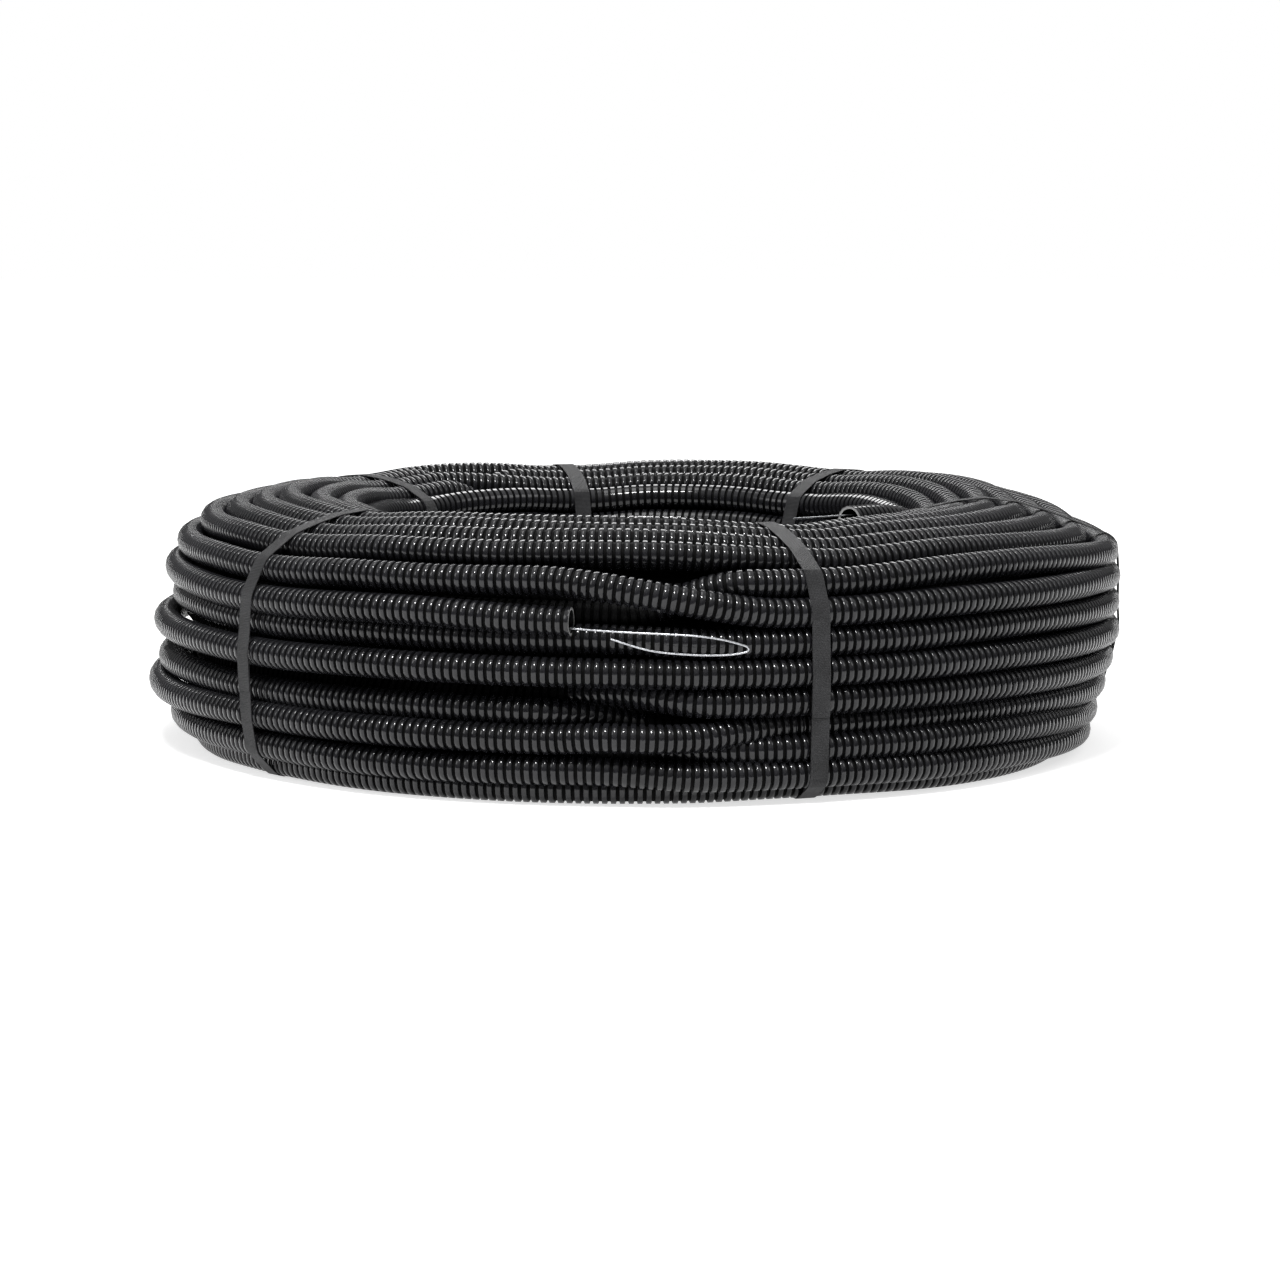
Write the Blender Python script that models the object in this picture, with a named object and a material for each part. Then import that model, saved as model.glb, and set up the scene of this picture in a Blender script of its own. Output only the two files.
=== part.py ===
"""A factory coil of black corrugated hose, tied by six straps, with a steel pull wire in its bore.

The coil lies flat on Z = 0 with its axis on the world Z axis. Angles run from the front (-Y)
towards the right (+X), so the hose winds anticlockwise seen from above, from the inner end out.
Lengths are in metres and angles in degrees.
"""

import math

import bmesh
import bpy
from mathutils import Vector

# Hose and wire
HOSE_DIAMETER = 0.020
HOSE_RADIUS = HOSE_DIAMETER / 2
HOSE_WALL = 0.0022
WIRE_DIAMETER = 0.0013

# Cross-section of the wound bundle: the line through the centres of its outermost turns,
# as (distance from the coil's axis, height), from the outer end's turn down and around.
SECTION_LINE = [
    (0.3455, 0.1255), (0.3475, 0.1070), (0.3500, 0.0780), (0.3470, 0.0400), (0.3320, 0.0125),
    (0.3000, 0.0100), (0.2500, 0.0100), (0.2040, 0.0110), (0.1940, 0.0300), (0.1930, 0.0700),
    (0.1930, 0.1100), (0.1940, 0.1380), (0.2010, 0.1577), (0.2210, 0.1642), (0.2420, 0.1708),
    (0.2630, 0.1728), (0.2830, 0.1700), (0.3050, 0.1635), (0.3320, 0.1480),
]
SECTION_CENTRE = 0.270
ROW_PITCH = 0.0207
VALLEY_DEPTH = 0.0034

# Straps
STRAPS = {
    "strap_front_right": 19.6,
    "strap_right": 88.0,
    "strap_back_right": 141.0,
    "strap_back_left": 193.3,
    "strap_left": 236.0,
    "strap_front_left": 311.3,
}
STRAP_WIDTH = 0.0127
STRAP_THICKNESS = 0.0006
WELD_TOP = 0.084
WELD_BOTTOM = 0.058
FLAT_HALF_ANGLE = 2.3
PINCH_SPREAD = 10.0
PINCH_ACROSS = 0.035
PINCH_DOWN = 0.030

# Gap left between pieces that touch, and the reach within which one tube's vertices are merged
GAP = 0.0004
MERGE_DISTANCE = 0.00001

# Mesh fineness
COLUMN_STEP = 6.0
SAMPLES_PER_SPAN = 16
ROW_SIDES = 16
BORE_STEP = 0.016
WIRE_STEP = 0.004

# Outer end: it springs off the outside of the coil to a mouth that faces right
OUTER_START_ANGLE = -44.0
OUTER_MOUTH_ANGLE = -7.1
OUTER_MOUTH_RADIUS = 0.3490
OUTER_HEIGHT = 0.1255
OUTER_MOUTH_HEIGHT = 0.1225
OUTER_AXIS_ANGLE = 10.0
OUTER_CLEAR_LENGTH = 0.060

# Inner end: it follows the inner top turn to the right strap, then springs into the coil's eye
INNER_ROW = (0.2010, 0.1577)
INNER_TIED_ANGLES = (101.0, 94.5, 88.0)
INNER_FREE_ROUTE = [
    (0.1985, -0.0240, 0.1570), (0.1885, -0.0400, 0.1607), (0.1745, -0.0585, 0.1640),
    (0.1520, -0.0880, 0.1654),
]
INNER_CLEAR_LENGTH = 0.030

# Pull wire, outer end: offsets from the mouth's centre along its axis, across it towards the
# coil, and up. The wire leaves the bore, doubles back as a hairpin and ends free.
LOOP_ROUTE = [
    (-0.046, 0.0012, -0.0044), (-0.023, 0.0012, -0.0044), (0.000, -0.0008, -0.0044),
    (0.022, -0.0034, -0.0052), (0.044, -0.0052, -0.0058), (0.063, -0.0046, -0.0063),
    (0.082, -0.0025, -0.0073), (0.097, 0.0002, -0.0094), (0.108, 0.0029, -0.0121),
    (0.1150, 0.0052, -0.0151), (0.1130, 0.0049, -0.0182), (0.099, 0.0010, -0.0198),
    (0.077, -0.0042, -0.0193), (0.053, -0.0088, -0.0166), (0.028, -0.0108, -0.0094),
]

# Pull wire, inner end: a straight tail, from inside the bore to its free end
TAIL_INSIDE = 0.024
TAIL_OUTSIDE = 0.070
TAIL_RISE = 0.0030

# Colours
HOSE_BLACK = (0.012, 0.012, 0.014, 1.0)
STRAP_GREY = (0.060, 0.060, 0.065, 1.0)
WIRE_GREY = (0.62, 0.63, 0.64, 1.0)


def clear_scene():
    for item in list(bpy.data.objects):
        bpy.data.objects.remove(item, do_unlink=True)


def make_material(name, colour, roughness, metallic):
    material = bpy.data.materials.new(name)
    material.use_nodes = True
    shader = material.node_tree.nodes["Principled BSDF"]
    shader.inputs["Base Color"].default_value = colour
    shader.inputs["Roughness"].default_value = roughness
    shader.inputs["Metallic"].default_value = metallic
    return material


def add_object(name, data, material):
    item = bpy.data.objects.new(name, data)
    data.materials.append(material)
    bpy.context.collection.objects.link(item)
    return item


def radial(angle):
    """Unit vector that points out from the coil's axis at this angle from the front."""
    turn = math.radians(angle)
    return Vector((math.sin(turn), -math.cos(turn), 0.0))


def tangent(angle):
    """Unit vector along the winding direction at this angle."""
    turn = math.radians(angle)
    return Vector((math.cos(turn), math.sin(turn), 0.0))


# Smooth curves

def catmull(before, start, end, after, share):
    """Point between start and end on the smooth curve through four neighbours."""
    return (
        start * (2 * share ** 3 - 3 * share ** 2 + 1)
        + (end - before) * 0.5 * (share ** 3 - 2 * share ** 2 + share)
        + end * (3 * share ** 2 - 2 * share ** 3)
        + (after - start) * 0.5 * (share ** 3 - share ** 2)
    )


def smooth_line(points, closed):
    """Dense points on the smooth curve through the given ones."""
    count = len(points)
    spans = count if closed else count - 1
    line = []
    for span in range(spans):
        if closed:
            around = [points[(span + shift) % count] for shift in (-1, 0, 1, 2)]
        else:
            around = [points[min(max(span + shift, 0), count - 1)] for shift in (-1, 0, 1, 2)]
        for step in range(SAMPLES_PER_SPAN):
            line.append(catmull(*around, step / SAMPLES_PER_SPAN))
    if not closed:
        line.append(points[-1].copy())
    return line


def line_length(line):
    """Length of a closed line."""
    return sum((there - here).length for here, there in zip(line, line[1:] + line[:1]))


def evenly_spaced(line, spacing, closed):
    """Points read off a dense line at equal distances close to spacing, and that count."""
    path = line + [line[0]] if closed else line
    lengths = [0.0]
    for here, there in zip(path, path[1:]):
        lengths.append(lengths[-1] + (there - here).length)
    count = max(2, round(lengths[-1] / spacing))
    stops = count if closed else count + 1
    points = []
    index = 0
    for stop in range(stops):
        distance = lengths[-1] * stop / count
        while index < len(path) - 2 and lengths[index + 1] < distance:
            index += 1
        share = (distance - lengths[index]) / (lengths[index + 1] - lengths[index])
        points.append(path[index].lerp(path[index + 1], min(share, 1.0)))
    return points


# Coil

def strap_pull(angle):
    """How hard the straps pull the bundle in at this angle: 1 under a strap, 0 well away."""
    nearest = min(abs((angle - strap + 180) % 360 - 180) for strap in STRAPS.values())
    beyond = max(0.0, nearest - FLAT_HALF_ANGLE)
    return math.exp(-((beyond / PINCH_SPREAD) ** 2))


def pinched(point, pull):
    """A cross-section point (distance, height) after the straps have pulled the bundle in."""
    across = point.x - (point.x - SECTION_CENTRE) * PINCH_ACROSS * pull
    height = point.y + (STRAP_THICKNESS + GAP - PINCH_DOWN * (point.y - HOSE_RADIUS)) * pull
    return Vector((across, height))


def half_rows():
    """Centres of the outermost turns and the points half way between them, alternately."""
    line = smooth_line([Vector(point) for point in SECTION_LINE], True)
    rows = round(line_length(line) / ROW_PITCH)
    halves = evenly_spaced(line, line_length(line) / (2 * rows), True)
    return [Vector((half.x, max(half.y, HOSE_RADIUS))) for half in halves]


def section_outline():
    """Crests and valleys of the bundle's cross-section, one crest for each outermost turn."""
    halves = half_rows()
    outline = []
    for index, half in enumerate(halves):
        along = (halves[(index + 1) % len(halves)] - halves[index - 1]).normalized()
        outward = Vector((-along.y, along.x))
        reach = HOSE_RADIUS if index % 2 == 0 else HOSE_RADIUS - VALLEY_DEPTH
        point = half + outward * reach
        outline.append(Vector((point.x, max(point.y, 0.0))))
    return outline


def column_angles():
    """Angles of the coil's mesh columns: a regular step, and both edges of each strap's flat."""
    edges = []
    for strap in STRAPS.values():
        edges += [(strap - FLAT_HALF_ANGLE) % 360, (strap + FLAT_HALF_ANGLE) % 360]
    angles = list(edges)
    for index in range(round(360 / COLUMN_STEP)):
        angle = index * COLUMN_STEP
        nearest = min(abs((angle - strap + 180) % 360 - 180) for strap in STRAPS.values())
        if nearest > FLAT_HALF_ANGLE + COLUMN_STEP / 4:
            angles.append(angle)
    return sorted(angles)


def add_coil(material):
    outline = section_outline()
    angles = column_angles()
    vertices = []
    for angle in angles:
        pull = strap_pull(angle)
        for point in outline:
            place = pinched(point, pull)
            vertices.append(radial(angle) * place.x + Vector((0.0, 0.0, place.y)))
    rows = len(outline)
    faces = []
    for column in range(len(angles)):
        following = (column + 1) % len(angles)
        for row in range(rows):
            beyond = (row + 1) % rows
            faces.append((
                column * rows + row, column * rows + beyond,
                following * rows + beyond, following * rows + row,
            ))
    mesh = bpy.data.meshes.new("hose_coil")
    mesh.from_pydata([tuple(vertex) for vertex in vertices], [], faces)
    mesh.shade_smooth()
    mesh.set_sharp_from_angle(angle=math.radians(35))
    return add_object("hose_coil", mesh, material)


# Straps

def hull(points):
    """Corners of the smallest convex outline around the points, anticlockwise."""
    ordered = sorted(points, key=lambda point: (point.x, point.y))
    corners = []
    for sequence in (ordered, ordered[::-1]):
        side = []
        for point in sequence:
            while len(side) > 1 and (side[-1] - side[-2]).cross(point - side[-1]) <= 0:
                side.pop()
            side.append(point)
        corners += side[:-1]
    return corners


def corner_offsets(corners):
    """For each corner, the move that shifts both its sides out by one unit."""
    moves = []
    for index, corner in enumerate(corners):
        into = (corner - corners[index - 1]).normalized()
        out = (corners[(index + 1) % len(corners)] - corner).normalized()
        normal_in = Vector((into.y, -into.x))
        normal_out = Vector((out.y, -out.x))
        middle = (normal_in + normal_out).normalized()
        moves.append(middle / middle.dot(normal_in))
    return moves


def tied_centres(angle):
    """Centres, in the strap's plane, of every turn and of the inner end where they are tied."""
    squeeze = math.cos(math.radians(FLAT_HALF_ANGLE))
    centres = []
    for row in half_rows()[::2]:
        place = pinched(row, 1.0)
        centres.append(Vector((place.x * squeeze, place.y)))
    for point in smooth_line(inner_end_route(), False):
        across = point.dot(radial(angle))
        if across > 0 and abs(point.dot(tangent(angle))) < STRAP_WIDTH:
            centres.append(Vector((across, point.z)))
    return centres


def strap_outline(angle):
    """The strap's path as (corner, outward move, plies), with both ends of the welded overlap."""
    rims = []
    for centre in tied_centres(angle):
        for step in range(ROW_SIDES):
            turn = 2 * math.pi * step / ROW_SIDES
            rims.append(centre + Vector((math.cos(turn), math.sin(turn))) * HOSE_RADIUS)
    corners = hull(rims)
    path = []
    for index, (corner, move) in enumerate(zip(corners, corner_offsets(corners))):
        beyond = corners[(index + 1) % len(corners)]
        outside = min(corner.x, beyond.x) > SECTION_CENTRE
        plies = 2 if corner.x > SECTION_CENTRE and WELD_BOTTOM < corner.y < WELD_TOP else 1
        path.append((corner, move, plies))
        if not outside:
            continue
        along = (beyond - corner).normalized()
        normal = Vector((along.y, -along.x))
        for level, before, after in ((WELD_BOTTOM, 1, 2), (WELD_TOP, 2, 1)):
            if corner.y < level < beyond.y:
                place = corner.lerp(beyond, (level - corner.y) / (beyond.y - corner.y))
                path += [(place, normal, before), (place, normal, after)]
    return path


def add_strap(name, angle, material):
    inside = []
    outside = []
    for corner, move, plies in strap_outline(angle):
        inside.append(corner + move * GAP)
        outside.append(corner + move * (GAP + STRAP_THICKNESS * plies))
    count = len(inside)
    vertices = []
    for side in (-0.5, 0.5):
        for loop in (inside, outside):
            for point in loop:
                place = radial(angle) * point.x + tangent(angle) * STRAP_WIDTH * side
                vertices.append(place + Vector((0.0, 0.0, point.y)))
    in_a, out_a, in_b, out_b = (step * count for step in range(4))
    faces = []
    for here in range(count):
        there = (here + 1) % count
        faces.append((out_a + here, out_a + there, in_a + there, in_a + here))
        faces.append((out_b + there, out_b + here, in_b + here, in_b + there))
        faces.append((out_b + here, out_b + there, out_a + there, out_a + here))
        if (inside[there] - inside[here]).length > 0:
            faces.append((in_a + here, in_a + there, in_b + there, in_b + here))
    mesh = bpy.data.meshes.new(name)
    mesh.from_pydata([tuple(vertex) for vertex in vertices], [], faces)
    return add_object(name, mesh, material)


# Hose ends and pull wire

def add_tube(name, points, radius, material, origin, sides_level, hollow):
    """A round tube along the points, solid with filled caps or hollow with open mouths."""
    curve = bpy.data.curves.new(name, "CURVE")
    curve.dimensions = "3D"
    curve.bevel_depth = radius
    curve.bevel_resolution = sides_level
    curve.use_fill_caps = not hollow
    spline = curve.splines.new("POLY")
    spline.points.add(len(points) - 1)
    for knot, point in zip(spline.points, points):
        knot.co = (*(point - origin), 1.0)
    tube = add_object(name, curve, material)
    tube.location = origin
    if hollow:
        wall = tube.modifiers.new("wall", "SOLIDIFY")
        wall.thickness = HOSE_WALL
        wall.offset = -1.0
    return tube


def outer_mouth():
    centre = radial(OUTER_MOUTH_ANGLE) * OUTER_MOUTH_RADIUS
    return centre + Vector((0.0, 0.0, OUTER_MOUTH_HEIGHT))


def outer_axis():
    """Direction out of the outer mouth: to the right and a little to the front."""
    turn = math.radians(OUTER_AXIS_ANGLE)
    return Vector((math.cos(turn), -math.sin(turn), 0.0))


def inner_mouth():
    return Vector(INNER_FREE_ROUTE[-1])


def inner_axis():
    """Direction out of the inner mouth, along the hose's last stretch."""
    return (inner_mouth() - Vector(INNER_FREE_ROUTE[-2])).normalized()


def outer_end_route():
    """Centres along the outer end, from where it leaves the coil to its mouth."""
    start_radius = SECTION_LINE[0][0]
    route = []
    steps = 6
    for step in range(steps):
        share = step / steps
        angle = OUTER_START_ANGLE + (OUTER_MOUTH_ANGLE - OUTER_START_ANGLE) * share
        ease = share * share
        radius = start_radius + (OUTER_MOUTH_RADIUS - start_radius) * ease
        height = OUTER_HEIGHT + (OUTER_MOUTH_HEIGHT - OUTER_HEIGHT) * ease
        route.append(radial(angle) * radius + Vector((0.0, 0.0, height)))
    route.append(outer_mouth())
    return route


def close_seams(mesh):
    """Joins the vertices that a tube's side and caps have in the same place."""
    work = bmesh.new()
    work.from_mesh(mesh)
    bmesh.ops.remove_doubles(work, verts=work.verts, dist=MERGE_DISTANCE)
    work.to_mesh(mesh)
    work.free()


def inner_end_route():
    """Centres along the inner end, from the coil, under the right strap, to its mouth."""
    route = []
    for angle in INNER_TIED_ANGLES:
        place = pinched(Vector(INNER_ROW), strap_pull(angle))
        route.append(radial(angle) * place.x + Vector((0.0, 0.0, place.y)))
    return route + [Vector(point) for point in INNER_FREE_ROUTE]


def cut_channel(coil, name, route, lead_in, lead_out):
    """Cuts room for a hose end out of the coil, a little longer than the end itself."""
    first = route[0] - (route[1] - route[0]).normalized() * lead_in
    last = route[-1] + (route[-1] - route[-2]).normalized() * lead_out
    path = [first] + route[1:-1] + [route[-1], last]
    material = coil.data.materials[0]
    guide = add_tube(name + "_guide", path, HOSE_RADIUS + GAP * 2, material, Vector(), 4, False)
    mesh = bpy.data.meshes.new_from_object(guide)
    bpy.data.objects.remove(guide, do_unlink=True)
    close_seams(mesh)
    cutter = bpy.data.objects.new(name, mesh)
    bpy.context.collection.objects.link(cutter)
    cutter.hide_render = True
    cutter.display_type = "WIRE"
    cut = coil.modifiers.new(name, "BOOLEAN")
    cut.operation = "DIFFERENCE"
    cut.object = cutter


def add_outer_end(coil, material):
    route = evenly_spaced(smooth_line(outer_end_route(), False), BORE_STEP, False)
    add_tube("hose_outer_end", route, HOSE_RADIUS, material, Vector(), 4, True)
    cut_channel(coil, "outer_end_room", route, GAP, OUTER_CLEAR_LENGTH)


def add_inner_end(coil, material):
    route = evenly_spaced(smooth_line(inner_end_route(), False), BORE_STEP, False)
    add_tube("hose_inner_end", route, HOSE_RADIUS, material, Vector(), 4, True)
    cut_channel(coil, "inner_end_room", route, GAP, INNER_CLEAR_LENGTH)


def add_wire_loop(material):
    """The hairpin that stops the wire slipping back into the hose; it slides along the mouth."""
    mouth = outer_mouth()
    axis = outer_axis()
    inward = Vector((0.0, 0.0, 1.0)).cross(axis)
    points = []
    for along, across, up in LOOP_ROUTE:
        points.append(mouth + axis * along + inward * across + Vector((0.0, 0.0, up)))
    route = evenly_spaced(smooth_line(points, False), WIRE_STEP, False)
    add_tube("pull_wire_loop", route, WIRE_DIAMETER / 2, material, mouth, 2, False)


def add_wire_tail(material):
    mouth = inner_mouth()
    axis = inner_axis()
    rise = Vector((0.0, 0.0, TAIL_RISE))
    route = [mouth - axis * TAIL_INSIDE + rise, mouth + rise, mouth + axis * TAIL_OUTSIDE + rise]
    add_tube("pull_wire_tail", route, WIRE_DIAMETER / 2, material, mouth, 2, False)


def main():
    clear_scene()
    hose = make_material("hose_black", HOSE_BLACK, 0.28, 0.0)
    strap = make_material("strap_grey", STRAP_GREY, 0.55, 0.0)
    steel = make_material("wire_steel", WIRE_GREY, 0.35, 1.0)
    coil = add_coil(hose)
    add_outer_end(coil, hose.copy())
    add_inner_end(coil, hose.copy())
    for name, angle in STRAPS.items():
        add_strap(name, angle, strap.copy())
    add_wire_loop(steel)
    add_wire_tail(steel.copy())


main()
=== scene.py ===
"""Looks of the strapped hose coil: the whole hose as one wound tube, its straps and its pull wire.

Angles run from the front (-Y) towards the right (+X), in degrees. They grow along the hose, by 360
for each turn, from 0 at the front just before its inner end. Lengths are in metres.
"""

import math

import bpy
import numpy as np
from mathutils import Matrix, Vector


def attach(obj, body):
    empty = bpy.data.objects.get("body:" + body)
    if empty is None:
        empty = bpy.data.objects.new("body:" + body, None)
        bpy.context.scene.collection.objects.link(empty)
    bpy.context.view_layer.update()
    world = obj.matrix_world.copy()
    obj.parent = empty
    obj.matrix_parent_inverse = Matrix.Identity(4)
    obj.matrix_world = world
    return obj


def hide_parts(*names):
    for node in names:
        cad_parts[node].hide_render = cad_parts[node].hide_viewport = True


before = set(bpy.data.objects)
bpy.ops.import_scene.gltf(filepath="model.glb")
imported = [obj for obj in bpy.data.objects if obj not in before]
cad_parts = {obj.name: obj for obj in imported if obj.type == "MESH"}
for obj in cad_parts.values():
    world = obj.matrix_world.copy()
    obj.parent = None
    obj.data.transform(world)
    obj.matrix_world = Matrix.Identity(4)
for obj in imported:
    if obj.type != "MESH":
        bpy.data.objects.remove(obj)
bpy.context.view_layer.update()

FULL_TURN = 360.0
HALF_TURN = 180.0
WHITE = (1.0, 1.0, 1.0)

# Camera: its tilt is in degrees from straight down
CAMERA_PLACE = (0.0015, -2.617, 0.397)
CAMERA_TILT = 82.81
CAMERA_LENS = 99.25

# Hose: radii of its ribs outside and in the bore, and of its cut edge
HOSE_DIAMETER = 0.020
CREST_RADIUS = HOSE_DIAMETER / 2
SHOULDER_RADIUS = 0.00962
GROOVE_RADIUS = 0.0083
RIM_RADIUS = GROOVE_RADIUS + 0.0006
BORE_CREST_RADIUS = 0.0092
BORE_GROOVE_RADIUS = 0.0078
RIB_PITCH = 0.00575
BORE_DEPTH = 0.075
HOSE_SHARP_ANGLE = 60.0
# The winding is worked out at every SHAPE_STEP degrees
SHAPE_STEP = 0.5

# Turns of the winding as (distance, height), innermost layer first
INNER_LAYER = [
    (0.2010, 0.1577), (0.1940, 0.1380), (0.1930, 0.1170), (0.1930, 0.0965),
    (0.1930, 0.0760), (0.1930, 0.0555), (0.1935, 0.0350), (0.2000, 0.0145),
]
# Each layer is (top turn, bottom turn, number of turns, shift of the top turn at the far right)
MIDDLE_LAYERS = [
    ((0.2165, 0.1660), (0.2195, 0.0100), 7, (0.0, 0.0)),
    ((0.2360, 0.1705), (0.2387, 0.0100), 6, (0.0, 0.0)),
    ((0.2560, 0.1728), (0.2580, 0.0100), 6, (0.0, 0.0)),
    ((0.2755, 0.1712), (0.2770, 0.0100), 7, (0.0030, -0.0010)),
    ((0.2945, 0.1668), (0.2960, 0.0100), 7, (0.0060, -0.0030)),
    ((0.3135, 0.1612), (0.3060, 0.0300), 6, (0.0100, -0.0080)),
]
# Outer turns, bottom first: place on the right half, place on the left half, shift at the far
# right, shift at the far left, and whether it is an outermost one
OUTER_TURNS = [
    ((0.3310, 0.0100), (0.3320, 0.0100), (-0.0220, 0.0), (-0.0140, 0.0), True),
    ((0.3470, 0.0190), (0.3450, 0.0235), (-0.0220, -0.0080), (-0.0080, 0.0), True),
    ((0.3250, 0.0330), (0.3250, 0.0330), (-0.0150, 0.0), (0.0, 0.0), False),
    ((0.3455, 0.0360), (0.3475, 0.0445), (-0.0133, -0.0110), (0.0040, 0.0), True),
    ((0.3375, 0.0505), (0.3405, 0.0615), (0.0019, -0.0065), (0.0040, 0.0), True),
    ((0.3205, 0.0500), (0.3205, 0.0500), (-0.0030, 0.0), (0.0, 0.0), False),
    ((0.3285, 0.0700), (0.3180, 0.0680), (-0.0050, 0.0), (0.0, 0.0), False),
    ((0.3475, 0.0685), (0.3360, 0.0785), (-0.0029, -0.0059), (0.0, 0.0), True),
    ((0.3500, 0.0885), (0.3500, 0.0895), (-0.0012, -0.0053), (-0.0030, 0.0), True),
    ((0.3285, 0.0930), (0.3250, 0.0980), (0.0, 0.0), (0.0, 0.0), False),
    ((0.3475, 0.1085), (0.3410, 0.1102), (0.0013, -0.0047), (-0.0060, 0.0), True),
    ((0.3245, 0.1210), (0.3200, 0.1240), (0.0040, 0.0030), (0.0, 0.0), False),
    ((0.3375, 0.1475), (0.3362, 0.1472), (0.0102, -0.0066), (-0.0065, 0.0), True),
    ((0.3485, 0.1287), (0.3475, 0.1268), (0.0003, -0.0053), (-0.0090, 0.0), True),
]
# The far shifts fade out over SIDE_SPREAD degrees on both sides of these angles
FAR_RIGHT = 90.0
FAR_LEFT = 270.0
SIDE_SPREAD = 52.0
# The left half's places give way to the right half's between the first two angles, at the front, and
# the right half's to the left half's between the last two. Angles are counted from HALVES_LOW here.
HALVES_MEET = ((-6.0, 8.0), (196.0, 232.0))
HALVES_LOW = -60.0

# The top turns sink between these angles, from the first to the second and from the third to the
# fourth, by the most for a turn above the second height
ROOF_DIP = 0.0052
ROOF_DIP_ANGLES = (12.0, 30.0, 85.0, 120.0)
ROOF_DIP_HEIGHTS = (0.145, 0.160)

# Where a turn climbs to the next one: at the front, or at the back left between two straps
FRONT = 0.0
BACK = 214.6
CLIMB_HALF_WIDTH = 11.0
INNER_CLIMB = FRONT
MIDDLE_CLIMB = BACK
# Outer turns: (climb angle, half width, bulge) for each change to the next turn
OUTER_CLIMBS = [
    (208.0, 9.0, 0.003), (212.0, 9.0, -0.003), (7.0, 10.0, -0.001), (3.0, 15.0, 0.009),
    (-3.0, 10.0, -0.004), (-4.0, 8.0, -0.002), (-3.0, 13.0, -0.001), (206.0, 9.0, 0.003),
    (210.0, 9.0, -0.003), (217.0, 9.0, -0.003), (221.0, 9.0, -0.003), (5.0, 8.0, -0.010),
    (2.3, 15.0, 0.006),
]
# Two climbs in a row are at least this far apart
CLIMB_SPACING = 100.0

# Straps by their angles. They pull the bundle in by PINCH_ACROSS of the distance from the section's
# centre and by PINCH_DOWN of the height, and lift it a little, as they lie under it too.
SECTION_CENTRE = 0.270
STRAPS = {
    "strap_front_right": 19.6,
    "strap_right": 88.0,
    "strap_back_right": 141.0,
    "strap_back_left": 193.3,
    "strap_left": 236.0,
    "strap_front_left": 311.3,
}
FLAT_HALF_ANGLE = 2.3
PINCH_SPREAD = 10.0
PINCH_ACROSS = 0.035
PINCH_DOWN = 0.030
PINCH_LIFT = 0.0010

# Uneven winding between the straps, as seeded waves with a knot at every WAVE_STEP degrees
WAVE_STEP = 24.0
WAVE_ACROSS = 0.0013
WAVE_UP = 0.0007
SEED = 7

# Inner end of the hose: a free route from its mouth, and the winding from INNER_START on. Between
# the two it follows the winding at steps of TIED_STEP degrees.
INNER_MOUTH_ANGLE = 60.0
INNER_START = 101.0
TIED_STEP = 6.5
FREE_DETAIL = 24
# Straps beyond this angle tie the hose's first turn too
FIRST_TIED_ANGLE = 81.0
INNER_FREE_ROUTE = [
    (0.1520, -0.0880, 0.1654), (0.1745, -0.0585, 0.1640), (0.1885, -0.0400, 0.1607),
    (0.1985, -0.0240, 0.1570),
]

# Outer end of the hose: it leaves the winding from OUTER_LOOSE_ANGLE on, and turns outward at its
# mouth. OUTER_AXIS_ANGLE is the way that the wire comes out.
OUTER_LOOSE_ANGLE = -27.0
OUTER_MOUTH_ANGLE = -7.1
OUTER_MOUTH_RADIUS = 0.3490
OUTER_MOUTH_HEIGHT = 0.1225
OUTER_AXIS_ANGLE = 10.0
OUTER_FLARE = 0.086
OUTER_FLARE_REACH = 0.035

# Pull wire: the hairpin's route is (along the mouth's axis, inward, up) from the mouth's centre
WIRE_DIAMETER = 0.0013
WIRE_DETAIL = 8
WIRE_ROUNDNESS = 3
LOOP_ROUTE = [
    (-0.046, 0.0004, -0.0018), (-0.023, 0.0006, -0.0036), (0.000, -0.0008, -0.0044),
    (0.022, -0.0034, -0.0052), (0.044, -0.0052, -0.0058), (0.063, -0.0046, -0.0063),
    (0.082, -0.0025, -0.0073), (0.097, 0.0002, -0.0094), (0.108, 0.0029, -0.0121),
    (0.1150, 0.0052, -0.0151), (0.1130, 0.0049, -0.0182), (0.099, 0.0010, -0.0198),
    (0.077, -0.0042, -0.0193), (0.053, -0.0088, -0.0166), (0.028, -0.0108, -0.0094),
]
TAIL_INSIDE = 0.024
TAIL_OUTSIDE = 0.070
TAIL_RISE = 0.0030
TAIL_POINTS = 12

# Strap strip, welded where its end lies over its start
STRAP_WIDTH = 0.0127
STRAP_THICKNESS = 0.0006
STRAP_GAP = 0.0002
WELD_TOP = 0.084
WELD_BOTTOM = 0.058
STRAP_STEP = 0.004
STRAP_SHARP_ANGLE = 30.0
HULL_SIDES = 48

# How finely each stretch of hose is built: rings of one rib as (share of the pitch, radius)
FULL_RIB = [
    (0.00, SHOULDER_RADIUS), (0.05, CREST_RADIUS), (0.54, CREST_RADIUS),
    (0.59, SHOULDER_RADIUS), (0.64, GROOVE_RADIUS), (0.95, GROOVE_RADIUS),
]
PLAIN_RIB = [
    (0.01, CREST_RADIUS), (0.58, CREST_RADIUS), (0.64, GROOVE_RADIUS), (0.95, GROOVE_RADIUS),
]
HIDDEN_RIB = [(0.0, SHOULDER_RADIUS)]
BORE_RIB = [(0.03, BORE_CREST_RADIUS), (0.54, BORE_CREST_RADIUS), (0.62, BORE_GROOVE_RADIUS),
            (0.94, BORE_GROOVE_RADIUS)]
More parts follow.
